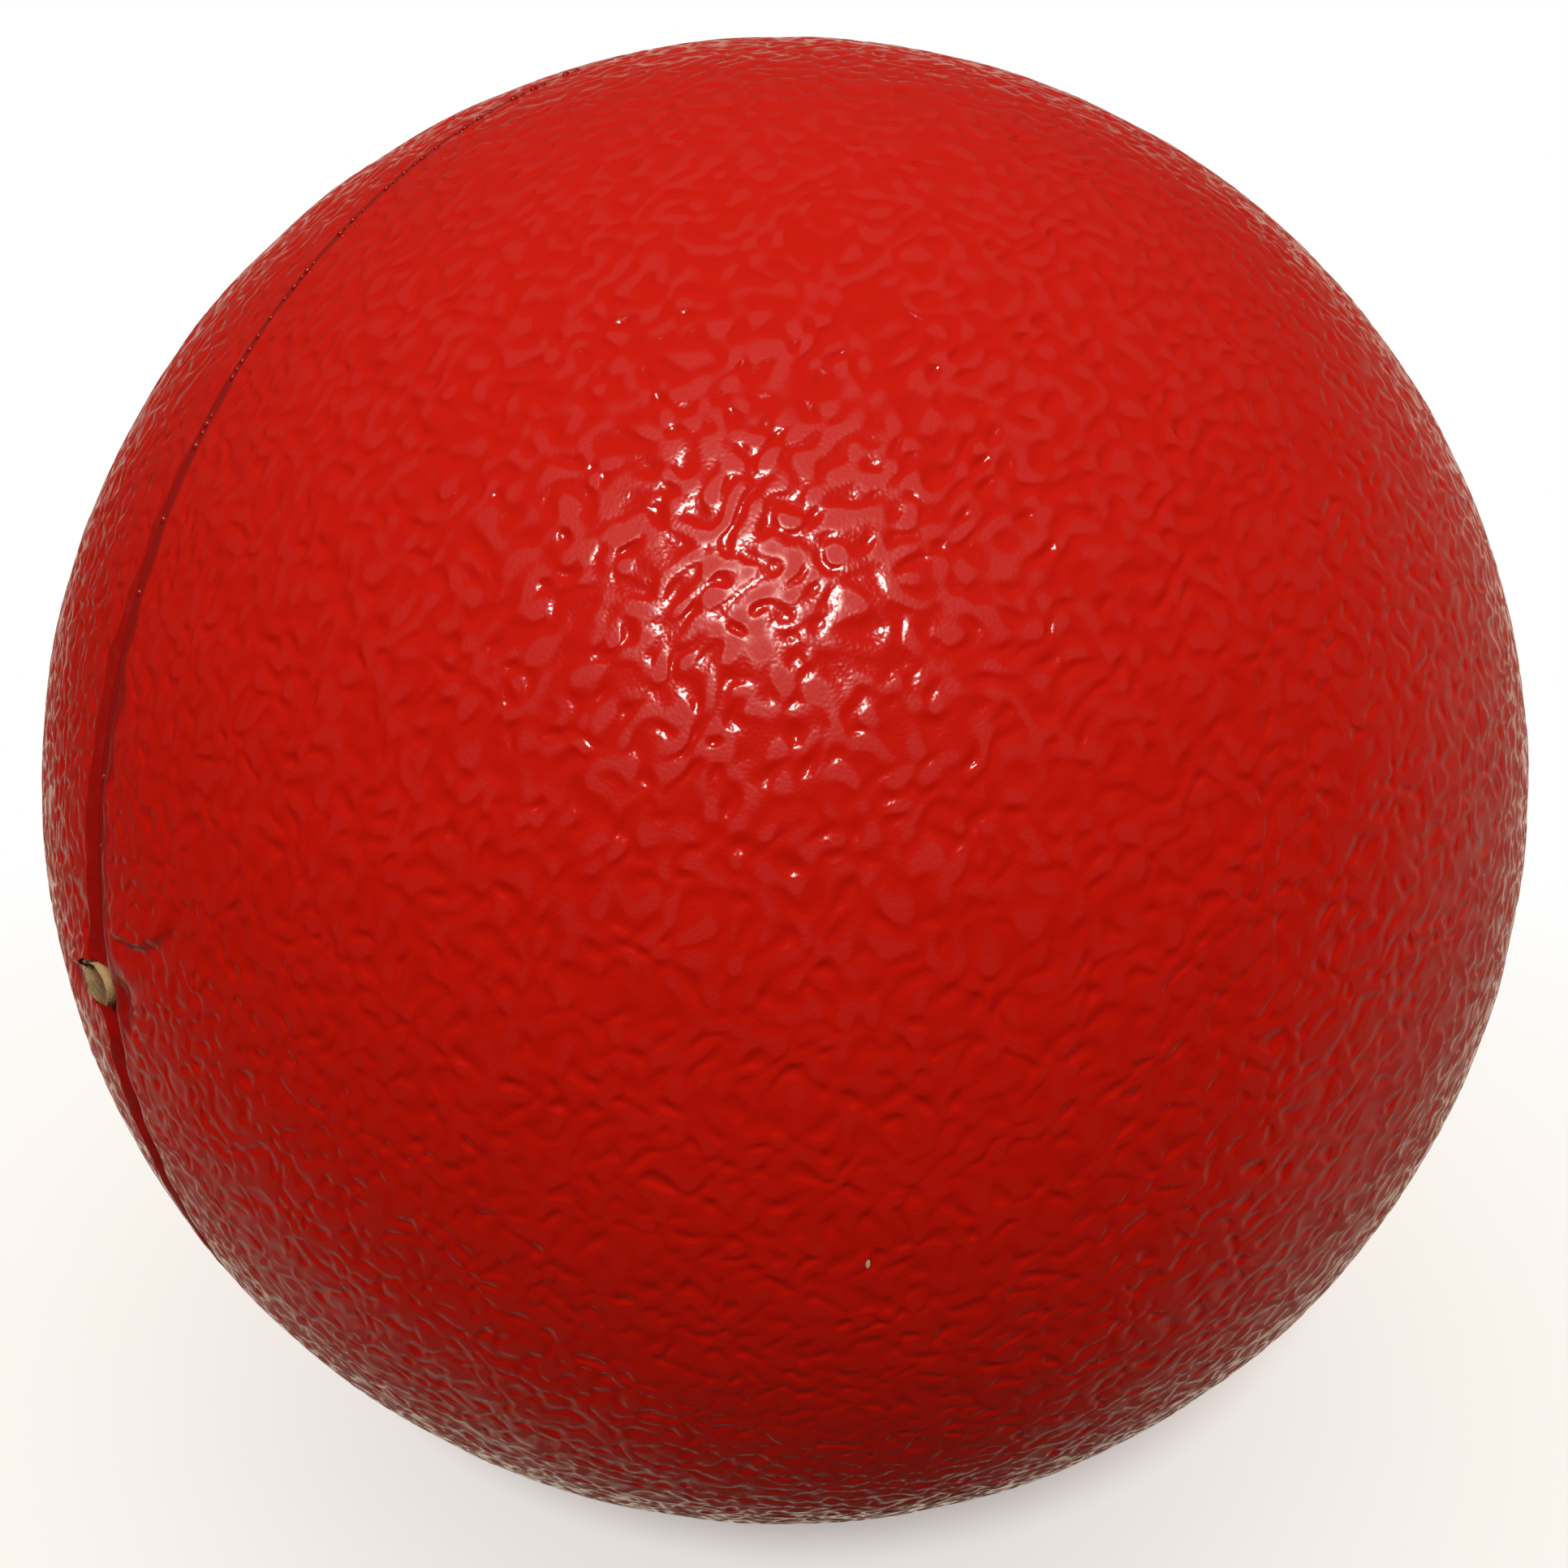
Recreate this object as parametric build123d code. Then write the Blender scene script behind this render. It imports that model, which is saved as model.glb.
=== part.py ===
from build123d import *
import math
import os

# Coated foam dodgeball: a foam core inside two moulded skin halves, welded together along the mould's parting line.
# Frame: origin at the ball's centre, parting line in the plane X = 0, pour gate on the -Y side, +Z up. Millimetres.

# Driving dimensions
BALL_DIAMETER = 178.0          # over the skin
SKIN_THICKNESS = 0.8           # moulded skin around the core
BOND_LINE = 0.05               # gap between the skin and the foam that is bonded to it
SEAM_DEPTH = 1.2               # groove along the parting line, below the ball's surface
SEAM_VALLEY_RADIUS = 1.0       # hollow rounding at the groove's bottom
SEAM_LIP_RADIUS = 2.5          # rounding from the ball's surface into the groove
WELD_WIDTH = 0.8               # strip that joins the two halves at the groove's bottom
GATE_DIAMETER = 6.0            # pour hole through the skin, on the parting line
GATE_RECESS = 1.0              # cut end of the foam stub, below the ball's surface
GATE_HOLLOW_DIAMETER = 2.2     # void left in the foam stub
GATE_HOLLOW_DEPTH = 3.0        # its depth below the stub's cut end
GATE_HOLLOW_RISE = 1.3         # its height above the gate's axis

ball_radius = BALL_DIAMETER / 2

# Centres of the groove's roundings in a half section: x along the ball's axis, r away from it.
# The lip's circle touches the ball's circle from inside and the valley's circle from outside.
valley_centre = Vector(0, ball_radius - SEAM_DEPTH + SEAM_VALLEY_RADIUS)
lip_reach = ball_radius - SEAM_LIP_RADIUS
lip_to_valley = SEAM_LIP_RADIUS + SEAM_VALLEY_RADIUS
lip_r = (lip_reach**2 - lip_to_valley**2 + valley_centre.Y**2) / (2 * valley_centre.Y)
lip_centre = Vector(math.sqrt(lip_reach**2 - lip_r**2), lip_r)


def mirrored(point):
    """The same point on the other side of the parting plane."""
    return Vector(-point.X, point.Y)


def arc_about(centre, start, end):
    """The short arc from start to end about a centre."""
    middle = (start - centre).normalized() + (end - centre).normalized()
    return ThreePointArc(start, centre + middle.normalized() * (start - centre).length, end)


def grooved_ball(inset):
    """A ball with the groove around its middle, every surface set in by the same distance."""
    radius = ball_radius - inset
    valley_radius = SEAM_VALLEY_RADIUS + inset
    axis_end = Vector(radius, 0)
    lip_start = lip_centre.normalized() * radius
    lip_end = valley_centre + (lip_centre - valley_centre).normalized() * valley_radius
    valley_bottom = valley_centre - Vector(0, valley_radius)
    section = [
        arc_about(Vector(0, 0), axis_end, lip_start),
        arc_about(lip_centre, lip_start, lip_end),
        ThreePointArc(lip_end, valley_bottom, mirrored(lip_end)),
        arc_about(mirrored(lip_centre), mirrored(lip_end), mirrored(lip_start)),
        arc_about(Vector(0, 0), mirrored(lip_start), mirrored(axis_end)),
        Line(mirrored(axis_end), axis_end),
    ]
    return revolve(make_face(section), Axis.X, 360)


def gate_rod(diameter, near, far, rise=0.0):
    """A rod along the gate's axis, from near to far as distances from the ball's centre."""
    rod = Cylinder(diameter / 2, far - near)
    return Pos(0, -(near + far) / 2, rise) * Rot(90, 0, 0) * rod


# Foam core, with the gate's stub cut off below the ball's surface and the void that the pour left in it
stub_end = ball_radius - GATE_RECESS
past_the_ball = BALL_DIAMETER
foam_core = grooved_ball(SKIN_THICKNESS + BOND_LINE)
foam_core += gate_rod(GATE_DIAMETER - 2 * BOND_LINE, 0, stub_end)
foam_core -= gate_rod(GATE_DIAMETER, stub_end, past_the_ball)
foam_core -= gate_rod(GATE_HOLLOW_DIAMETER, stub_end - GATE_HOLLOW_DEPTH, past_the_ball, GATE_HOLLOW_RISE)

# Skin around the core, open at the gate, divided at the two sides of the weld
skin = grooved_ball(0) - grooved_ball(SKIN_THICKNESS) - gate_rod(GATE_DIAMETER, 0, past_the_ball)
weld_side = Plane.YZ.offset(WELD_WIDTH / 2)
other_weld_side = Plane.YZ.offset(-WELD_WIDTH / 2)
right_skin_half = split(skin, weld_side, Keep.TOP)
left_skin_half = split(skin, other_weld_side, Keep.BOTTOM)
seam_weld = split(split(skin, weld_side, Keep.BOTTOM), other_weld_side, Keep.TOP)

os.makedirs("parts", exist_ok=True)
export_step(foam_core, "parts/foam_core.step")
export_step(right_skin_half, "parts/right_skin_half.step")
export_step(left_skin_half, "parts/left_skin_half.step")
export_step(seam_weld, "parts/seam_weld.step")
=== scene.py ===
import math

import bmesh
import bpy
from mathutils import Matrix, Vector


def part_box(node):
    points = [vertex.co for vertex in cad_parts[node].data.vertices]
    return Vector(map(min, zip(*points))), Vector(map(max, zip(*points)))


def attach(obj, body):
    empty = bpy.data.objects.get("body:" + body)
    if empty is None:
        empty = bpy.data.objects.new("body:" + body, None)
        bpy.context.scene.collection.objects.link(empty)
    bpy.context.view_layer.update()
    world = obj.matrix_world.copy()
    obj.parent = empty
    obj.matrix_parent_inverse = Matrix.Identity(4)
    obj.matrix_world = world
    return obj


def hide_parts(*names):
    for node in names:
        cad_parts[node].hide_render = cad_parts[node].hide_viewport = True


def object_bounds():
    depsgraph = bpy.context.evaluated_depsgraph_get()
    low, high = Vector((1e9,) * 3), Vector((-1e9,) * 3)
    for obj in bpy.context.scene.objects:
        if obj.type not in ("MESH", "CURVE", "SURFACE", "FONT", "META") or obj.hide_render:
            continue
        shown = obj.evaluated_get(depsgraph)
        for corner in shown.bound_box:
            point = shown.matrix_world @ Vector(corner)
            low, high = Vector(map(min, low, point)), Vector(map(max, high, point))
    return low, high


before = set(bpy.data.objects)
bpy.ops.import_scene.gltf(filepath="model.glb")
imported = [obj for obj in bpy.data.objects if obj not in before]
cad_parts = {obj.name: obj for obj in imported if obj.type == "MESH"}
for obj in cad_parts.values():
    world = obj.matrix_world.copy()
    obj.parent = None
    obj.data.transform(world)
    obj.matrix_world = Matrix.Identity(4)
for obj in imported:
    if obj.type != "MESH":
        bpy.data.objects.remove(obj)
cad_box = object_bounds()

# A coated foam dodgeball: a foam core in two wrinkled skin halves, joined by a weld in the groove of the
# mould's parting line. The parting line lies in the plane X = 0 and the pour gate is on the -Y side.
# Metres, but a name that ends in _MM or _mm holds millimetres. A place near the gate is given as how far
# it is to the right of the parting line, and up.
MM = 0.001

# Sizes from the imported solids
ball_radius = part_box("right_skin_half")[1].x
weld_half_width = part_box("seam_weld")[1].x
core_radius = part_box("foam_core")[1].x
floor_height = cad_box[0].z
ball_radius_mm = ball_radius / MM

# Fineness of the meshes
SKIN_CELLS = 256        # cells along a side of the box that is rounded to a ball
CORE_CELLS = 64
SEAM_BAND_MM = 5.0                            # within this reach of the parting line, cells are cut across
SEAM_CUTS = 2
SKIN_DETAIL_MM = (19.0, 9.0)                  # the skin's cells are halved within these reaches of the gate
CORE_DETAIL_MM = (15.0, 10.0, 8.0, 7.0)       # and the core's within these
INNER_RINGS = 24                              # rings of the skin's inner face, from its edge to the pole
INNER_CROWDING = 1.5                          # above 1, these rings are closer together at the edge
WELD_STEPS = 2200                             # along the weld
WELD_POINTS = 7                               # across it
BEAD_SEGMENTS = (16, 10)                      # around a bead, and from end to end

# Thicknesses
BOND_GAP_MM = 0.02                            # between the foam and the skin's inner face
WELD_THICKNESS_MM = 0.5

# Groove along the parting line: its depth in millimetres at an angle in degrees from the gate, up positive
SEAM_DEPTHS = ((-180, 0.3), (-95, 0.5), (-35, 1.1), (-4, 1.2), (6, 0.75), (16, 0.55), (32, 0.22), (43, 0.06),
               (100, 0.06), (180, 0.3))
RIGHT_WALL_MM = (0.3, 4.4)                    # reach of the right wall at no depth, and its growth with depth
LEFT_WALL_MM = (0.3, 3.4)                     # the same of the steeper left wall
RIGHT_WALL_CURVE = 1.8                        # how hollow a wall is: 1 is straight
LEFT_WALL_CURVE = 1.2
WIDEST_DEPTH_MM = 0.55                        # where the groove is deeper, it grows no wider
WALL_LIMIT_MM = 4.0                           # no wall reaches further than this
LIP_WAVER = (0.2, 0.1)                        # shares of a wall's reach by which its lip wavers
LIP_PACE = (61, 23, 97)                       # how fast it wavers along the parting line

# Broken crest of trimmed flash along the weld above the gate, left as rounded beads
BEAD_PLACES = 92
BEAD_SPACING_MM = 1.15
BEAD_SHIFT = 0.25                             # share of the spacing by which a bead leaves its even place
FIRST_BEAD_MM = 3.6                           # above the gate's axis, along the parting line
BEAD_HALF_MM = (0.32, 0.48, 0.32)             # half width, half length and half height
BEAD_SIZE = (0.8, 0.2)                        # mean size, and how much beads differ from it
BEAD_ACROSS_MM = 0.15                         # to the right of the parting line
BEAD_STAND_MM = 0.04                          # middle of a bead, above the groove's bottom
BEAD_LEVEL = 1.5                              # a bead stays where the rhythm of the tear is above this level,
BEAD_LEVEL_FALL = 2.2                         # which falls by this much up the ball,
BEAD_LEVEL_ANGLES = (0.45, 0.7)               # between these angles from the gate, in radians
WELD_END = 0.6                                # share of the torn hole's half height at which the weld stops

# Wrinkles of the skin: waves in many directions add up to ridges that meander, run together and break off
WAVES = 10
WAVE_LENGTHS_MM = (1.7, 2.7)
WAVE_STRIDE = 3                               # mixes the lengths among the directions
WAVE_TURN = math.pi * (3 - math.sqrt(5))      # from one direction to the next, which spreads them evenly
SWAY_MM = 5.0                                 # size of the bends that the waves follow
SWAY_REACH_MM = 4.0                           # how far these bends shift them
CLUSTER_MM = 4.0                              # size of the places where ridges are wide or few
CLUSTER_SHARE = 1.8                           # their strength, against waves of strength 1
RIDGE_COVER = 0.58                            # level of the clusters at which ridges and valleys are equal
RIDGE_HEIGHT_MM = 0.066                       # rise for one unit of the waves' strength
RIDGE_SHOULDER_MM = 0.11                      # rounding where a ridge's wall meets its flat top
SWELL_MM = 9.0                                # size of the broad swells under the ridges
SWELL_HEIGHT_MM = 0.4
PORE_MM = 0.3                                 # fine pores all over
PORE_DEPTH_MM = 0.018
NOISE_MIDDLE = 0.5                            # middle value of Blender's noise

# Smooth skin: how far the wrinkles fade in before and past the groove's lip
GRAIN_BEFORE_LIP_MM = 0.3
GRAIN_PAST_RIGHT_LIP_MM = 0.9
GRAIN_PAST_LEFT_LIP_MM = 0.3
# Places that the gate draws tight: middle, width and height of one unit, units from the middle at which the
# wrinkles begin and are full, and the share of them that is left in the middle
TIGHT_PLACES = (((1.4, -0.4), (1.0, 1.0), (3.4, 5.6), 0.0),
                ((-11.0, -2.6), (4.5, 1.3), (0.8, 1.5), 0.0),
                ((6.5, 4.4), (1 / 0.7, 1.0), (2.0, 4.0), 0.3))

# Gate: torn hole in the skin around the pour hole, a little to the left of the parting line and tilted
GATE_MIDDLE_MM = Vector((-2.7, -0.4))
GATE_HALF_MM = (3.9, 2.5)                     # half length and half height
GATE_TILT = math.radians(14)
GATE_FULLNESS = 2.4                           # 2 is an ellipse, and more is fuller in the corners
GATE_TEARS = ((0.04, 3, 2.0), (0.025, 7, 1.0))  # ragged edge: share of the size, number around it, and turn
GATE_REACH_MM = 24.0                          # what the gate does to the skin ends here
# Dimples at the gate: depth, middle, and half width and half height
DIMPLES_MM = ((0.75, (3.6, 0.2), (1.9, 2.6)),
              (0.8, (-12.0, -2.8), (5.5, 1.5)))

# Creases from the gate, in millimetres: the skin above each stands proud
CREASES = (((3.2, 6.6), (4.7, 6.8), (7.4, 7.0), (9.7, 7.5), (12.1, 8.7), (13.2, 9.7), (14.1, 10.7),
            (16.5, 15.0)),
           ((-1.0, 2.7), (-2.1, 2.2), (-4.5, 0.9), (-8.0, -0.3), (-12.9, -1.2), (-18.0, -1.0)))
CREASE_RISE_MM = 0.4
CREASE_RISE_REACH_MM = 3.5
CREASE_SINK_MM = 0.5
CREASE_SINK_REACH_MM = 1.9
CREASE_STEP_MM = 0.5                          # half width of the step between the sunk and the proud side
CREASE_START = 0.12                           # share of its length in which a crease gets its full depth

# Folds that fan out from the gate: bearing in degrees, reach, depth and width in millimetres
GATE_FOLDS = ((14, 17, 0.3, 0.9), (-6, 20, 0.28, 0.9), (-28, 14, 0.25, 0.8), (-52, 9, 0.2, 0.7),
              (215, 9, 0.3, 0.8), (240, 8, 0.2, 0.7))
FOLD_START_MM = (2.0, 5.0)                    # where a fold begins and is full
FOLD_CURL = 0.012                             # turn of its bearing in radians for each millimetre

# Foam in the torn hole: a cup with a torn rim along its right and upper edge and the void of the pour in it.
# Shares are of the way from the hole's middle to its edge.
CUP_DEPTH_MM = 0.9                            # below the ball's surface, at the middle
CUP_SLOPE = 0.2                               # rise towards the left
CUP_LUMP_MM = 0.04
CUP_LUMP_PACE = (5, 6)                        # how fast the lumps follow each other, along and up
VOID_DEPTH_MM = 0.45
VOID_MIDDLE_MM = (-2.6, 1.1)
VOID_HALF_MM = (1.6, 1.3)
VOID_EDGE = (1.0, 0.3)                        # where the void begins and is full, as shares of its half size
RIM_SHARES = (0.68, 0.86)                     # where the rim begins and is full
RIM_STAND_MM = 0.05                           # above the ball's surface
RIM_SLANT_ABOVE = 1.6                         # slant of the rim's end in the hole's upper half
RIM_SLANT_BELOW = 0.8                         # and in its lower half
RIM_END_MM = (-0.3, 0.9)                      # over which the rim fades out to the left
STUB_EDGE = (0.98, 0.92)                      # where the stub begins under the skin and is full
STUB_UNDER = 0.09                             # how much further it goes under the skin at the left,
STUB_UNDER_MM = (0.5, -1.0)                   # beginning and full here
STUB_SLANT = 0.8
STUB_LIMIT = 1.1                              # the stub ends here

# Chip in the skin: its direction from the ball's centre, and its half width and half height in millimetres
CHIP_DIRECTION = Vector((0.764, -0.636, -0.108)).normalized()
CHIP_HALF_MM = (0.17, 0.42)
CHIP_EDGE = (1.15, 0.85)                      # shares of the half size over which the chip's edge fades

# Patterns of the weld and the foam, and the foam's painted shade
RUN_MM = 0.9                                  # runs in the weld
RUN_DEPTH_MM = 0.06
FOAM_CELL_MM = 0.3
FOAM_CELL_DEPTH_MM = 0.05
FOAM_BLOTCH_MM = 1.2
FOAM_BLOTCH_SHARE = 0.6                       # how much blotches change the foam's tone
FOAM_SHADED_BROWN_MM = 1.0                           # depth below the ball's surface at which the foam is painted brown, as shade in the hollow
FOAM_UNSHADED_BEIGE_MM = 0.3                           # and at which it is beige, with no painted shade


def seam_angle(place):
    """Angle along the parting line from the gate, up positive, in radians."""
    return math.atan2(place.z, -place.y)


def seam_depth_mm(angle):
    """Depth of the groove at an angle along the parting line."""
    degrees = math.degrees(angle)
    for (low, low_depth), (high, high_depth) in zip(SEAM_DEPTHS, SEAM_DEPTHS[1:]):
        if degrees <= high:
            share = (1 - math.cos(math.pi * (degrees - low) / (high - low))) / 2
            return low_depth + (high_depth - low_depth) * share
    return SEAM_DEPTHS[-1][1]


def seam_reach_mm(angle, side):
    """Distance from the parting line to the groove's lip, which wavers a little."""
    least, growth = RIGHT_WALL_MM if side > 0 else LEFT_WALL_MM
    beat = math.sin(LIP_PACE[0] * angle + side) * math.sin(LIP_PACE[1] * angle)
    ripple = math.sin(LIP_PACE[2] * angle + 2 * side)
    waver = 1 + LIP_WAVER[0] * beat + LIP_WAVER[1] * ripple
    return (least + growth * min(seam_depth_mm(angle), WIDEST_DEPTH_MM)) * waver


def groove_mm(across_mm, angle):
    """Depth of the groove at a distance from the parting line, along X."""
    side = 1 if across_mm > 0 else -1
    curve = RIGHT_WALL_CURVE if side > 0 else LEFT_WALL_CURVE
    share = min(abs(across_mm) / seam_reach_mm(angle, side), 1.0)
    return seam_depth_mm(angle) * (1 - share) ** curve


def off_gate_mm(across_mm, up_mm):
    """A place near the gate, from the torn hole's middle, along the hole's own length and height."""
    off = Vector((across_mm, up_mm)) - GATE_MIDDLE_MM
    return Vector((off.x * math.cos(GATE_TILT) + off.y * math.sin(GATE_TILT),
                   off.y * math.cos(GATE_TILT) - off.x * math.sin(GATE_TILT)))


def share_of_hole(off):
    """How far a place is from the torn hole's middle: 1 at the hole's ragged edge."""
    half_length, half_height = GATE_HALF_MM
    bearing = math.atan2(off.y, off.x)
    ragged = sum((size * math.sin(number * bearing + turn) for size, number, turn in GATE_TEARS), 1)
    corners = abs(off.x / half_length) ** GATE_FULLNESS + abs(off.y / half_height) ** GATE_FULLNESS
    return corners ** (1 / GATE_FULLNESS) / ragged


def smooth_step(low, high, value):
    """0 at low and before, 1 at high and past it, and smooth between."""
    share = min(max((value - low) / (high - low), 0.0), 1.0)
    return share * share * (3 - 2 * share)


def crease_mm(across_mm, up_mm, points):
    """How far a crease draws the skin in: less than nothing above it, where the skin stands proud."""
    spot = Vector((across_mm, up_mm))
    lengths = [(Vector(high) - Vector(low)).length for low, high in zip(points, points[1:])]
    passed = 0.0
    nearest = None
    for low, high, length in zip(points, points[1:], lengths):
        run = (Vector(high) - Vector(low)) / length
        along = min(max((spot - Vector(low)).dot(run), 0.0), length)
        away = spot - Vector(low) - run * along
        if nearest is None or away.length < nearest[0]:
            above = away.y if abs(run.x) > abs(run.y) else away.y - away.x * run.y / run.x
            nearest = (away.length, above, (passed + along) / sum(lengths))
        passed += length
    distance, above, share = nearest
    strength = smooth_step(0.0, CREASE_START, share) * (1 - share ** 2)
    proud = smooth_step(-CREASE_STEP_MM, CREASE_STEP_MM, math.copysign(distance, above))
    rise = CREASE_RISE_MM * math.exp(-(distance / CREASE_RISE_REACH_MM) ** 2)
    sink = CREASE_SINK_MM * math.exp(-(distance / CREASE_SINK_REACH_MM) ** 2)
    return strength * (sink * (1 - proud) - rise * proud)


def gate_hollow_mm(across_mm, up_mm):
    """How far the skin is drawn in around the gate, with the dimples, creases and folds there."""
    reach = math.hypot(across_mm, up_mm)
    if reach > GATE_REACH_MM:
        return 0.0
    drawn_in = 0.0
    for depth, middle, half in DIMPLES_MM:
        off_x = (across_mm - middle[0]) / half[0]
        off_y = (up_mm - middle[1]) / half[1]
        drawn_in += depth * math.exp(-off_x ** 2 - off_y ** 2)
    for points in CREASES:
        drawn_in += crease_mm(across_mm, up_mm, points)
    for degrees, fold_reach, fold_depth, fold_width in GATE_FOLDS:
        turn = math.radians(degrees) + FOLD_CURL * reach
        along = across_mm * math.cos(turn) + up_mm * math.sin(turn)
        off = across_mm * math.sin(turn) - up_mm * math.cos(turn)
        if 0 < along < fold_reach:
            strength = smooth_step(*FOLD_START_MM, along) * (1 - along / fold_reach)
            drawn_in += fold_depth * strength * math.exp(-(off / fold_width) ** 2)
    return drawn_in


def drawn_in_mm(place):
    """How far the groove and the gate draw the skin in at a place on the ball, in millimetres."""
    inward = groove_mm(place.x, seam_angle(place)) if abs(place.x) < WALL_LIMIT_MM else 0.0
    if place.y < 0:
        inward += gate_hollow_mm(place.x, place.z)
    return inward


def skin_place(direction):
    """The point of the skin's outer face in a direction from the ball's centre, before its wrinkles."""
    return direction * (ball_radius_mm - drawn_in_mm(direction * ball_radius_mm)) * MM


def on_the_box(reach_mm):
    """A reach along the ball's surface as a length on the box that is rounded to the ball."""
    return reach_mm / ball_radius_mm * 4 / math.pi


def box_grid(cells, detail_mm, both_sides):
    """A box cut into cells that rounds to a ball or to its +X half, finer at the seam and the gate."""
    shape = bmesh.new()
    bmesh.ops.create_cube(shape, size=2.0)
    if not both_sides:
        bmesh.ops.scale(shape, vec=(0.5, 1, 1), verts=shape.verts)
        bmesh.ops.translate(shape, vec=(0.5, 0, 0), verts=shape.verts)
        open_side = [face for face in shape.faces if face.calc_center_median().x < 0.01]
        bmesh.ops.delete(shape, geom=open_side, context="FACES_ONLY")
    for axis in range(3):
        along = [edge for edge in shape.edges if abs(edge.verts[0].co[axis] - edge.verts[1].co[axis]) > 0.5]
        half = axis == 0 and not both_sides
        cuts = (cells // 2 if half else cells) - 1
        bmesh.ops.subdivide_edges(shape, edges=along, cuts=cuts, use_grid_fill=True)
    seam_band = on_the_box(SEAM_BAND_MM)
    across = [edge for edge in shape.edges
              if abs(edge.verts[0].co.x - edge.verts[1].co.x) > 1e-4
              and all(abs(vert.co.x) < seam_band for vert in edge.verts)]
    bmesh.ops.subdivide_edges(shape, edges=across, cuts=SEAM_CUTS, use_grid_fill=True)
    for reach in map(on_the_box, detail_mm):
        near = [edge for edge in shape.edges
                if all(vert.co.y < -0.99 and math.hypot(vert.co.x, vert.co.z) < reach for vert in edge.verts)]
        bmesh.ops.subdivide_edges(shape, edges=near, cuts=1, use_grid_fill=True)
    return shape


def rounded(co):
    """The direction of a point of the box, with even cells on the ball."""
    return Vector([math.tan(part * math.pi / 4) for part in co]).normalized()


def at_latitude(place, latitude, side):
    """The direction at a latitude from the parting plane, on the meridian of a place."""
    spoke = Vector((0, place.y, place.z)).normalized()
    return Vector((side * math.sin(latitude), 0, 0)) + spoke * math.cos(latitude)


def finished_piece(name, shape, material, node):
    """A piece from a bmesh, smooth, in place of its CAD node."""
    mesh = bpy.data.meshes.new(name)
    shape.to_mesh(mesh)
    shape.free()
    mesh.shade_smooth()
    mesh.materials.append(material)
    piece = bpy.data.objects.new(name, mesh)
    bpy.context.collection.objects.link(piece)
    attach(piece, "root")
    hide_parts(node)
    return piece


def linear(hex_colour):
    """An sRGB hex colour as linear RGBA."""
    parts = [int(hex_colour[start:start + 2], 16) / 255 for start in (0, 2, 4)]
    return [part / 12.92 if part <= 0.04045 else ((part + 0.055) / 1.055) ** 2.4 for part in parts] + [1.0]


def add(tree, kind, inputs=(), **settings):
    """A node with its settings, its inputs set or linked."""
    node = tree.nodes.new(kind)
    for name, value in settings.items():
        setattr(node, name, value)
    for socket, value in dict(inputs).items():
        if isinstance(value, bpy.types.NodeSocket):
            tree.links.new(value, node.inputs[socket])
        else:
            node.inputs[socket].default_value = value
    return node


def hide_grain(tree, place_mm):
    """Wrinkles at a place on the ball: their level, above 0 on a ridge's top, and height in millimetres."""
    middle = (NOISE_MIDDLE, NOISE_MIDDLE, NOISE_MIDDLE)
    bend = add(tree, "ShaderNodeTexNoise", {"Vector": place_mm, "Scale": 1 / SWAY_MM, "Detail": 1.0})
    bend = add(tree, "ShaderNodeVectorMath", {0: bend.outputs["Color"], 1: middle}, operation="SUBTRACT")
    bend = add(tree, "ShaderNodeVectorMath", {0: bend.outputs[0], "Scale": SWAY_REACH_MM}, operation="SCALE")
    bent = add(tree, "ShaderNodeVectorMath", {0: place_mm, 1: bend.outputs[0]}, operation="ADD")
    cluster = add(tree, "ShaderNodeTexNoise", {"Vector": place_mm, "Scale": 1 / CLUSTER_MM, "Detail": 1.0})
    cluster = add(tree, "ShaderNodeMath", {0: cluster.outputs[0], 1: RIDGE_COVER}, operation="SUBTRACT")
    level = add(tree, "ShaderNodeMath", {0: cluster.outputs[0], 1: CLUSTER_SHARE}, operation="MULTIPLY")
    shortest, longest = WAVE_LENGTHS_MM
    for wave in range(WAVES):
        rise = (wave + 0.5) / WAVES
        flat = math.sqrt(1 - rise ** 2)
        turn = wave * WAVE_TURN
        length = shortest + (longest - shortest) * (wave * WAVE_STRIDE % WAVES) / WAVES
        heading = Vector((math.cos(turn) * flat, math.sin(turn) * flat, rise))
        phase = add(tree, "ShaderNodeVectorMath", {0: bent.outputs[0], 1: heading * 2 * math.pi / length},
                    operation="DOT_PRODUCT")
        swing = add(tree, "ShaderNodeMath", {0: phase.outputs["Value"]}, operation="SINE")
        level = add(tree, "ShaderNodeMath",
                    {0: swing.outputs[0], 1: math.sqrt(2 / WAVES), 2: level.outputs[0]},
                    operation="MULTIPLY_ADD")
    wall = add(tree, "ShaderNodeMath", {0: level.outputs[0], 1: RIDGE_HEIGHT_MM}, operation="MULTIPLY")
    height = add(tree, "ShaderNodeMath", {0: wall.outputs[0], 1: 0.0, 2: RIDGE_SHOULDER_MM},
                 operation="SMOOTH_MIN")
    swell = add(tree, "ShaderNodeTexNoise", {"Vector": place_mm, "Scale": 1 / SWELL_MM, "Detail": 1.0})
    swell = add(tree, "ShaderNodeMath", {0: swell.outputs[0], 1: NOISE_MIDDLE}, operation="SUBTRACT")
    height = add(tree, "ShaderNodeMath", {0: swell.outputs[0], 1: SWELL_HEIGHT_MM, 2: height.outputs[0]},
                 operation="MULTIPLY_ADD")
    return level.outputs[0], height.outputs[0]


def on_the_ball_mm(tree, place):
    """A place carried out to the ball's nominal face, so that the groove doesn't shift the pattern."""
    direction = add(tree, "ShaderNodeVectorMath", {0: place}, operation="NORMALIZE")
    return add(tree, "ShaderNodeVectorMath", {0: direction.outputs[0], "Scale": ball_radius_mm},
               operation="SCALE").outputs[0]


def new_material(name):
    """An empty material and its node tree."""
    material = bpy.data.materials.new(name)
    material.use_nodes = True
    material.node_tree.nodes.clear()
    return material, material.node_tree


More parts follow.
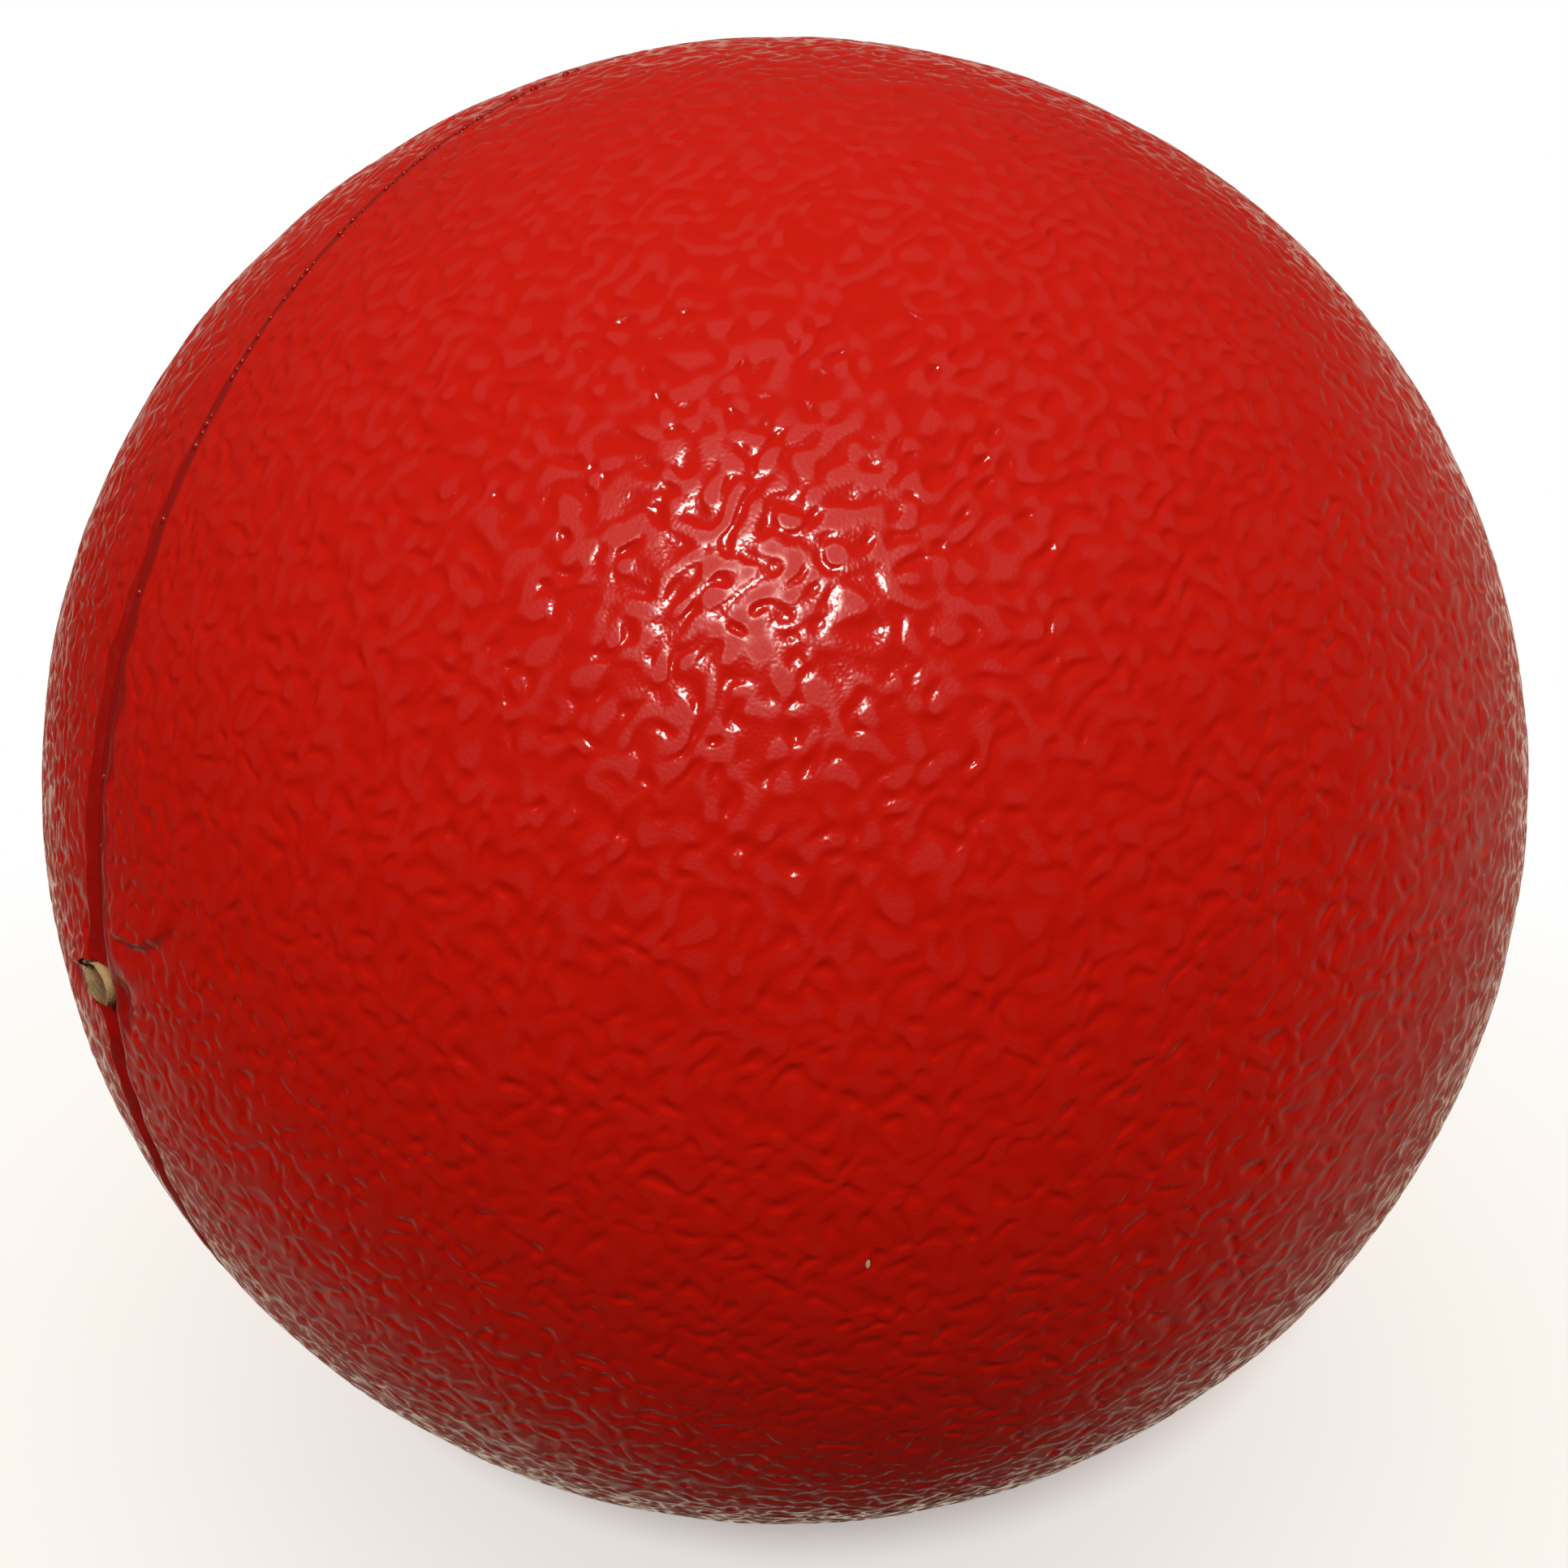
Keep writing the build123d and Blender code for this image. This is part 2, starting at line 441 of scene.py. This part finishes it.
def moulded_polyurethane_skin():
    """Skin moulded against a grained mould: solid red, a darker red where it is smooth as painted shade of
    the groove and the gate's hollows, glints along the ridges' shoulders, a duller top with fine pores, and a
    pale sheen where it is seen at a low angle."""
    material, tree = new_material("moulded_polyurethane_skin")
    place = add(tree, "ShaderNodeTexCoord")
    place_mm = on_the_ball_mm(tree, place.outputs["Object"])
    grain = add(tree, "ShaderNodeAttribute", attribute_name="grain")
    level, height = hide_grain(tree, place_mm)
    pores = add(tree, "ShaderNodeTexNoise", {"Vector": place_mm, "Scale": 1 / PORE_MM, "Detail": 0.0})
    height = add(tree, "ShaderNodeMath", {0: pores.outputs[0], 1: PORE_DEPTH_MM, 2: height},
                 operation="MULTIPLY_ADD")
    height = add(tree, "ShaderNodeMath", {0: height.outputs[0], 1: grain.outputs["Fac"]},
                 operation="MULTIPLY")
    smooth = add(tree, "ShaderNodeAttribute", attribute_name="smooth_normal")
    facing = add(tree, "ShaderNodeVectorTransform", {0: smooth.outputs["Vector"]},
                 vector_type="NORMAL", convert_from="OBJECT", convert_to="WORLD")
    bump = add(tree, "ShaderNodeBump",
               {"Height": height.outputs[0], "Distance": MM, "Normal": facing.outputs[0]})
    # The shoulders are glossier than the tops
    roughness = add(tree, "ShaderNodeMapRange",
                    {"Value": level, "From Min": -0.5, "From Max": 1.5, "To Min": 0.16, "To Max": 0.5},
                    interpolation_type="SMOOTHSTEP")
    off_chip = add(tree, "ShaderNodeVectorMath", {0: place_mm, 1: CHIP_DIRECTION * ball_radius_mm},
                   operation="SUBTRACT")
    half_width, half_height = CHIP_HALF_MM
    off_chip = add(tree, "ShaderNodeVectorMath",
                   {0: off_chip.outputs[0], 1: (half_width, half_width, half_height)}, operation="DIVIDE")
    off_chip = add(tree, "ShaderNodeVectorMath", {0: off_chip.outputs[0]}, operation="LENGTH")
    outside, inside = CHIP_EDGE
    chip = add(tree, "ShaderNodeMapRange",
               {"Value": off_chip.outputs["Value"], "From Min": outside, "From Max": inside})
    # Painted shade: the smooth skin in the groove and in the gate's drawn-in hollows is a darker red,
    # standing in for the shade that falls there
    red = add(tree, "ShaderNodeValToRGB", {0: grain.outputs["Fac"]})
    red.color_ramp.elements[0].color = linear("A8110C")
    red.color_ramp.elements[1].color = linear("CE1609")
    red.color_ramp.elements[1].position = 0.3
    colour = add(tree, "ShaderNodeMix", {0: chip.outputs[0], 6: red.outputs[0], 7: linear("E6D2AE")},
                 data_type="RGBA")
    skin = add(tree, "ShaderNodeBsdfPrincipled",
               {"Base Color": colour.outputs[2], "Roughness": roughness.outputs[0], "IOR": 1.5,
                "Specular IOR Level": 0.28, "Normal": bump.outputs[0]})
    add(tree, "ShaderNodeOutputMaterial", {"Surface": skin.outputs[0]})
    return material


def polyurethane_weld():
    """Skin material that ran together in the mould's joint: smooth and glossy, and darker as painted shade of
    the groove's bottom.
    """
    material, tree = new_material("polyurethane_weld")
    place = add(tree, "ShaderNodeTexCoord")
    runs = add(tree, "ShaderNodeTexNoise",
               {"Vector": place.outputs["Object"], "Scale": 1 / (RUN_MM * MM), "Detail": 2.0})
    bump = add(tree, "ShaderNodeBump", {"Height": runs.outputs[0], "Distance": RUN_DEPTH_MM * MM})
    # Painted shade: the weld's red is darker than the skin's, for the shade at the bottom of the groove
    weld = add(tree, "ShaderNodeBsdfPrincipled",
               {"Base Color": linear("9C100C"), "Roughness": 0.26, "IOR": 1.5, "Normal": bump.outputs[0]})
    add(tree, "ShaderNodeOutputMaterial", {"Surface": weld.outputs[0]})
    return material


def polyurethane_foam():
    """Open-cell foam, torn at the gate: dull beige with fine cells, and browner the deeper it lies, as
    painted shade in the hollow.
    """
    material, tree = new_material("polyurethane_foam")
    place = add(tree, "ShaderNodeTexCoord")
    cells = add(tree, "ShaderNodeTexVoronoi",
                {"Vector": place.outputs["Object"], "Scale": 1 / (FOAM_CELL_MM * MM)})
    bump = add(tree, "ShaderNodeBump",
               {"Height": cells.outputs["Distance"], "Distance": FOAM_CELL_DEPTH_MM * MM})
    blotches = add(tree, "ShaderNodeTexNoise",
                   {"Vector": place.outputs["Object"], "Scale": 1 / (FOAM_BLOTCH_MM * MM), "Detail": 2.0})
    depth = add(tree, "ShaderNodeVectorMath", {0: place.outputs["Object"]}, operation="LENGTH")
    # Painted shade: the deeper the foam lies below the ball's surface, the browner it is, so the cup and void
    # look shaded and the raised rim lighter
    face = add(tree, "ShaderNodeMapRange",
               {"Value": depth.outputs["Value"], "From Min": ball_radius - FOAM_SHADED_BROWN_MM * MM,
                "From Max": ball_radius - FOAM_UNSHADED_BEIGE_MM * MM})
    tone = add(tree, "ShaderNodeMath",
               {0: blotches.outputs[0], 1: FOAM_BLOTCH_SHARE, 2: -NOISE_MIDDLE * FOAM_BLOTCH_SHARE},
               operation="MULTIPLY_ADD")
    tone = add(tree, "ShaderNodeMath", {0: tone.outputs[0], 1: face.outputs[0]}, operation="ADD")
    colour = add(tree, "ShaderNodeValToRGB", {0: tone.outputs[0]})
    colour.color_ramp.elements[0].color = linear("6A3626")
    colour.color_ramp.elements[1].color = linear("BC9E70")
    foam = add(tree, "ShaderNodeBsdfPrincipled",
               {"Base Color": colour.outputs[0], "Roughness": 0.85, "IOR": 1.45, "Normal": bump.outputs[0]})
    add(tree, "ShaderNodeOutputMaterial", {"Surface": foam.outputs[0]})
    return material


def wrinkle_tree():
    """Node group that raises the skin along its smooth normals by the height of the wrinkles."""
    tree = bpy.data.node_groups.new("skin_wrinkles", "GeometryNodeTree")
    tree.interface.new_socket("Geometry", in_out="INPUT", socket_type="NodeSocketGeometry")
    tree.interface.new_socket("Geometry", in_out="OUTPUT", socket_type="NodeSocketGeometry")
    flat = add(tree, "NodeGroupInput")
    place = add(tree, "GeometryNodeInputPosition")
    height = hide_grain(tree, on_the_ball_mm(tree, place.outputs[0]))[1]
    grain = add(tree, "GeometryNodeInputNamedAttribute", {"Name": "grain"}, data_type="FLOAT")
    raised = add(tree, "ShaderNodeMath", {0: height, 1: grain.outputs[0]}, operation="MULTIPLY")
    raised = add(tree, "ShaderNodeMath", {0: raised.outputs[0], 1: MM}, operation="MULTIPLY")
    smooth = add(tree, "GeometryNodeInputNamedAttribute", {"Name": "smooth_normal"}, data_type="FLOAT_VECTOR")
    offset = add(tree, "ShaderNodeVectorMath", {0: smooth.outputs[0], "Scale": raised.outputs[0]},
                 operation="SCALE")
    wrinkled = add(tree, "GeometryNodeSetPosition",
                   {"Geometry": flat.outputs[0], "Offset": offset.outputs[0]})
    add(tree, "NodeGroupOutput", {0: wrinkled.outputs[0]})
    return tree


def wrinkle(piece, tree):
    """Wrinkles a skin piece and keeps the result as its mesh."""
    piece.modifiers.new("wrinkles", "NODES").node_group = tree
    whole = bpy.context.evaluated_depsgraph_get()
    wrinkled = bpy.data.meshes.new_from_object(piece.evaluated_get(whole), preserve_all_data_layers=True,
                                               depsgraph=whole)
    piece.modifiers.clear()
    flat = piece.data
    wrinkled.name = flat.name + "_wrinkled"
    piece.data = wrinkled
    bpy.data.meshes.remove(flat)


def grain_share(direction, side):
    """Share of the wrinkles at a place on the skin: none in the groove, few where the gate draws it tight."""
    place = direction * ball_radius_mm
    lip = seam_reach_mm(seam_angle(place), side)
    past_lip = GRAIN_PAST_RIGHT_LIP_MM if side > 0 else GRAIN_PAST_LEFT_LIP_MM
    share = smooth_step(lip - GRAIN_BEFORE_LIP_MM, lip + past_lip, abs(place.x))
    if place.y < 0:
        for (across, up), (half_width, half_height), fade, left in TIGHT_PLACES:
            away = math.hypot((place.x - across) / half_width, (place.z - up) / half_height)
            share *= left + (1 - left) * smooth_step(*fade, away)
    return share


def skin_half(side):
    """One skin half: its outer face with the torn hole at the gate, its edge and its inner face."""
    shape = box_grid(SKIN_CELLS, SKIN_DETAIL_MM, both_sides=False)
    grain = shape.verts.layers.float.new("grain")
    smooth_normal = shape.verts.layers.float_vector.new("smooth_normal")
    edge_latitude = math.asin(weld_half_width / ball_radius)
    near_pole = 0.999
    for vert in shape.verts:
        direction = rounded(vert.co)
        latitude = edge_latitude + math.asin(direction.x) * (1 - edge_latitude / (math.pi / 2))
        if direction.x < near_pole:
            direction = at_latitude(direction, latitude, side)
        else:
            direction.x *= side
        vert.co = skin_place(direction)
        vert[grain] = grain_share(direction, side)
    if side < 0:
        bmesh.ops.reverse_faces(shape, faces=shape.faces)
    torn = []
    for face in shape.faces:
        middle = face.calc_center_median() / MM
        if middle.y < 0 and share_of_hole(off_gate_mm(middle.x, middle.z)) < 1:
            torn.append(face)
    bmesh.ops.delete(shape, geom=torn, context="FACES")
    shape.normal_update()
    for vert in shape.verts:
        vert[smooth_normal] = vert.normal
    inner_radius = core_radius + BOND_GAP_MM * MM
    thickness = ball_radius - inner_radius
    left_before = 1.0
    edge = [edge for edge in shape.edges if edge.is_boundary]
    for ring in range(INNER_RINGS):
        left = 1 - (ring / INNER_RINGS) ** INNER_CROWDING
        made = bmesh.ops.extrude_edge_only(shape, edges=edge)["geom"]
        edge = [part for part in made if isinstance(part, bmesh.types.BMEdge) and part.is_boundary]
        for vert in {vert for part in edge for vert in part.verts}:
            vert[grain] = 0.0
            if ring == 0:
                vert.co -= vert.co.normalized() * thickness
            else:
                to_pole = math.acos(abs(vert.co.x) / vert.co.length) * left / left_before
                direction = at_latitude(vert.co, math.pi / 2 - to_pole, side)
                vert.co = skin_place(direction) - direction * thickness
        left_before = left
    last = list({vert for part in edge for vert in part.verts})
    bmesh.ops.pointmerge(shape, verts=last, merge_co=(side * inner_radius, 0, 0))
    shape.normal_update()
    return shape


def weld_ring():
    """The weld: a strip at the bottom of the groove, and beads of a broken crest of flash above the gate."""
    shape = bmesh.new()
    gap = math.asin(GATE_HALF_MM[1] * WELD_END / ball_radius_mm)
    for point in range(WELD_POINTS):
        across = -weld_half_width + 2 * weld_half_width * point / (WELD_POINTS - 1)
        shape.verts.new((across, 0, 0))
    verts = list(shape.verts)
    for low, high in zip(verts, verts[1:]):
        shape.edges.new((low, high))
    bmesh.ops.translate(shape, vec=(0, -ball_radius, 0), verts=shape.verts)
    bmesh.ops.rotate(shape, cent=(0, 0, 0), matrix=Matrix.Rotation(-gap, 3, "X"), verts=shape.verts)
    bmesh.ops.spin(shape, geom=shape.verts[:] + shape.edges[:], cent=(0, 0, 0), axis=(-1, 0, 0),
                   angle=2 * math.pi - 2 * gap, steps=WELD_STEPS)
    for vert in shape.verts:
        across_mm = vert.co.x / MM
        angle = seam_angle(vert.co)
        spoke = Vector((0, vert.co.y, vert.co.z)).normalized()
        radius_mm = math.sqrt(ball_radius_mm ** 2 - across_mm ** 2) - groove_mm(across_mm, angle)
        vert.co = Vector((vert.co.x, 0, 0)) + spoke * radius_mm * MM
    bmesh.ops.recalc_face_normals(shape, faces=shape.faces)
    bmesh.ops.solidify(shape, geom=shape.faces[:] + shape.edges[:] + shape.verts[:],
                       thickness=WELD_THICKNESS_MM * MM)
    around, end_to_end = BEAD_SEGMENTS
    for bead in range(BEAD_PLACES):
        along_mm = FIRST_BEAD_MM + BEAD_SPACING_MM * (bead + BEAD_SHIFT * math.sin(5 * bead))
        angle = along_mm / ball_radius_mm
        rhythm = math.sin(0.9 * bead) + math.sin(2.1 * bead + 1)
        if rhythm <= BEAD_LEVEL - BEAD_LEVEL_FALL * smooth_step(*BEAD_LEVEL_ANGLES, angle):
            continue
        size = BEAD_SIZE[0] + BEAD_SIZE[1] * math.sin(3 * bead + 1)
        middle_mm = ball_radius_mm - seam_depth_mm(angle) + BEAD_STAND_MM
        turned = Matrix.Rotation(-angle, 4, "X")
        place = turned @ Matrix.Translation((BEAD_ACROSS_MM * MM, -middle_mm * MM, 0))
        half_width, half_length, half_height = (half * size * MM for half in BEAD_HALF_MM)
        place @= Matrix.Diagonal((half_width, half_height, half_length, 1))
        bmesh.ops.create_uvsphere(shape, u_segments=around, v_segments=end_to_end, radius=1.0, matrix=place)
    return shape


def stub_mm(off, share):
    """Depth of the foam stub below the ball's surface: its cup, and less than nothing at its rim."""
    slant = RIM_SLANT_ABOVE if off.y > 0 else RIM_SLANT_BELOW
    rim = smooth_step(*RIM_SHARES, share) * smooth_step(*RIM_END_MM, off.x + slant * off.y)
    lumps = math.sin(CUP_LUMP_PACE[0] * off.x) * math.sin(CUP_LUMP_PACE[1] * off.y)
    cup = CUP_DEPTH_MM + CUP_SLOPE * min(off.x, 0.0) + CUP_LUMP_MM * lumps
    off_void = math.hypot((off.x - VOID_MIDDLE_MM[0]) / VOID_HALF_MM[0],
                          (off.y - VOID_MIDDLE_MM[1]) / VOID_HALF_MM[1])
    cup += VOID_DEPTH_MM * smooth_step(*VOID_EDGE, off_void)
    return cup - (cup + RIM_STAND_MM) * rim


def foam_core_shape():
    """The foam core, which shows only in the torn gate, as a stub with the void of the pour."""
    shape = box_grid(CORE_CELLS, CORE_DETAIL_MM, both_sides=True)
    under_skin_mm = (ball_radius - core_radius) / MM
    for vert in shape.verts:
        direction = rounded(vert.co)
        place = direction * ball_radius_mm
        inward = under_skin_mm + drawn_in_mm(place)
        off = off_gate_mm(place.x, place.z)
        share = share_of_hole(off)
        if place.y < 0 and share < STUB_LIMIT:
            under = STUB_UNDER * smooth_step(*STUB_UNDER_MM, off.x + STUB_SLANT * off.y)
            edge, full = STUB_EDGE
            if share < 1:
                inward = min(inward, CUP_DEPTH_MM)
            inward += (stub_mm(off, share) - inward) * smooth_step(edge + under, full + under, share)
        vert.co = direction * (ball_radius_mm - inward) * MM
    shape.normal_update()
    return shape


skin = moulded_polyurethane_skin()
wrinkles = wrinkle_tree()
for side, node in ((1, "right_skin_half"), (-1, "left_skin_half")):
    half = finished_piece(node.replace("_half", "_shell"), skin_half(side), skin, node)
    wrinkle(half, wrinkles)
bpy.data.node_groups.remove(wrinkles)

finished_piece("seam_weld_bead", weld_ring(), polyurethane_weld(), "seam_weld")
core = finished_piece("foam_core_body", foam_core_shape(), polyurethane_foam(), "foam_core")

# Camera, from a fit to the seam's curve in the photograph
CAMERA_AZIMUTH = math.radians(45.7)
CAMERA_ELEVATION = math.radians(19.15)
CAMERA_ROLL = math.radians(0.65)
CAMERA_DISTANCE = 2.16 * ball_radius
CAMERA_LENS_MM = 32.68
CAMERA_SENSOR_MM = 36.0
CAMERA_SHIFT = (-0.0006, -0.0023)

back = Vector((math.sin(CAMERA_AZIMUTH) * math.cos(CAMERA_ELEVATION),
               -math.cos(CAMERA_AZIMUTH) * math.cos(CAMERA_ELEVATION), math.sin(CAMERA_ELEVATION)))
camera = bpy.data.objects.new("camera", bpy.data.cameras.new("camera"))
camera.data.lens = CAMERA_LENS_MM
camera.data.sensor_width = CAMERA_SENSOR_MM
camera.data.shift_x, camera.data.shift_y = CAMERA_SHIFT
camera.data.clip_start = 0.01
level = (-back).to_track_quat("-Z", "Y").to_matrix().to_4x4()
aim = level @ Matrix.Rotation(CAMERA_ROLL, 4, "Z")
camera.matrix_world = Matrix.Translation(back * CAMERA_DISTANCE) @ aim
bpy.context.collection.objects.link(camera)
bpy.context.scene.camera = camera

# Studio: one soft lamp above the camera, a pale room, and a pale floor that keeps the ball's shadow
LAMP_PLACE = Vector((0.415, -0.488, 0.613))
LAMP_SIZE = 0.13
LAMP_POWER = 4.1
LAMP_COLOUR = (1.0, 0.95, 0.88)
ROOM_COLOUR = (1.0, 0.84, 0.66, 1)
ROOM_LIGHT = 0.03                             # from every side
CEILING_LIGHT = 0.7
CEILING_UNSEEN = 0.9                          # share of the ceiling that reflections don't show
WALL_LIGHT = 0.25                             # wall behind the ball
WALL_MIRRORED = 0.6                           # and how much brighter reflections show it
WALL_EDGE = (0.62, 0.88)                      # cosine from the wall's middle where it begins and is full
# Pale cards beside the ball: direction as shares of up, across and back, and where a card begins and is full
CARDS = (((-0.6, -0.55, -0.65), (0.74, 0.97)),
         ((-0.2, 0.8, -0.6), (0.6, 0.95)))
CARD_LIGHT = 0.28
FLOOR_RADIUS = 6.0
FLOOR_FADE = (0.1, 0.3)                       # distances from the centre where paper ends and white begins
FLOOR_GLOW = 0.35                             # brightens the paper up to white around the shadow
WHITE = (1, 1, 1, 1)

lamp = bpy.data.objects.new("key_lamp", bpy.data.lights.new("key_lamp", "AREA"))
lamp.data.shape = "DISK"
lamp.data.size = LAMP_SIZE
lamp.data.energy = LAMP_POWER
lamp.data.color = LAMP_COLOUR
lamp.location = LAMP_PLACE
lamp.rotation_euler = LAMP_PLACE.to_track_quat("Z", "Y").to_euler()
bpy.context.collection.objects.link(lamp)

world = bpy.data.worlds.new("pale_room")
bpy.context.scene.world = world
world.use_nodes = True
world.node_tree.nodes.clear()
tree = world.node_tree
ray = add(tree, "ShaderNodeLightPath")
outward = add(tree, "ShaderNodeTexCoord")
away = add(tree, "ShaderNodeVectorMath", {0: outward.outputs["Generated"], 1: -back}, operation="DOT_PRODUCT")
behind = add(tree, "ShaderNodeMapRange",
             {"Value": away.outputs["Value"], "From Min": WALL_EDGE[0], "From Max": WALL_EDGE[1]},
             interpolation_type="SMOOTHSTEP")
mirrored = add(tree, "ShaderNodeMath",
               {0: ray.outputs["Is Glossy Ray"], 1: ray.outputs["Is Transmission Ray"]}, operation="ADD")
wall = add(tree, "ShaderNodeMath", {0: mirrored.outputs[0], 1: WALL_MIRRORED, 2: WALL_LIGHT},
           operation="MULTIPLY_ADD")
wall = add(tree, "ShaderNodeMath", {0: wall.outputs[0], 1: behind.outputs[0], 2: ROOM_LIGHT},
           operation="MULTIPLY_ADD")
upward = add(tree, "ShaderNodeSeparateXYZ", {0: outward.outputs["Generated"]})
ceiling = add(tree, "ShaderNodeMapRange", {"Value": upward.outputs["Z"], "To Max": CEILING_LIGHT})
matt = add(tree, "ShaderNodeMath", {0: mirrored.outputs[0], 1: -CEILING_UNSEEN, 2: 1.0},
           operation="MULTIPLY_ADD")
light = add(tree, "ShaderNodeMath", {0: ceiling.outputs[0], 1: matt.outputs[0], 2: wall.outputs[0]},
            operation="MULTIPLY_ADD")
across = level.to_3x3() @ Vector((1, 0, 0))
for (up_share, across_share, back_share), (dim, full) in CARDS:
    direction = Vector((0, 0, up_share)) + across_share * across + back_share * back
    to_card = add(tree, "ShaderNodeVectorMath", {0: outward.outputs["Generated"], 1: direction.normalized()},
                  operation="DOT_PRODUCT")
    card = add(tree, "ShaderNodeMapRange",
               {"Value": to_card.outputs["Value"], "From Min": dim, "From Max": full, "To Max": CARD_LIGHT},
               interpolation_type="SMOOTHSTEP")
    light = add(tree, "ShaderNodeMath", {0: light.outputs[0], 1: card.outputs[0]}, operation="ADD")
room = add(tree, "ShaderNodeBackground", {"Color": ROOM_COLOUR, "Strength": light.outputs[0]})
backdrop = add(tree, "ShaderNodeBackground", {"Color": WHITE, "Strength": 1.0})
seen = add(tree, "ShaderNodeMixShader",
           {0: ray.outputs["Is Camera Ray"], 1: room.outputs[0], 2: backdrop.outputs[0]})
add(tree, "ShaderNodeOutputWorld", {"Surface": seen.outputs[0]})

floor_shape = bmesh.new()
bmesh.ops.create_circle(floor_shape, cap_ends=True, segments=96, radius=FLOOR_RADIUS)
bmesh.ops.translate(floor_shape, vec=(0, 0, floor_height), verts=floor_shape.verts)
floor_mesh = bpy.data.meshes.new("floor")
floor_shape.to_mesh(floor_mesh)
floor_shape.free()
floor_material, floor_tree = new_material("white_paper")
place = add(floor_tree, "ShaderNodeTexCoord")
reach = add(floor_tree, "ShaderNodeVectorMath", {0: place.outputs["Object"]}, operation="LENGTH")
far = add(floor_tree, "ShaderNodeMapRange",
          {"Value": reach.outputs["Value"], "From Min": FLOOR_FADE[0], "From Max": FLOOR_FADE[1]},
          interpolation_type="SMOOTHSTEP")
paper = add(floor_tree, "ShaderNodeBsdfDiffuse", {"Color": linear("E8EDF2")})
glow = add(floor_tree, "ShaderNodeEmission", {"Color": WHITE, "Strength": FLOOR_GLOW})
lit_paper = add(floor_tree, "ShaderNodeAddShader", {0: paper.outputs[0], 1: glow.outputs[0]})
white = add(floor_tree, "ShaderNodeEmission", {"Color": WHITE, "Strength": 1.0})
seen = add(floor_tree, "ShaderNodeMixShader",
           {0: far.outputs[0], 1: lit_paper.outputs[0], 2: white.outputs[0]})
ray = add(floor_tree, "ShaderNodeLightPath")
unseen = add(floor_tree, "ShaderNodeBsdfTransparent")
ground = add(floor_tree, "ShaderNodeMixShader",
             {0: ray.outputs["Is Camera Ray"], 1: unseen.outputs[0], 2: seen.outputs[0]})
add(floor_tree, "ShaderNodeOutputMaterial", {"Surface": ground.outputs[0]})
floor_mesh.materials.append(floor_material)
floor = bpy.data.objects.new("floor", floor_mesh)
bpy.context.collection.objects.link(floor)

bpy.context.scene.view_settings.view_transform = "Standard"
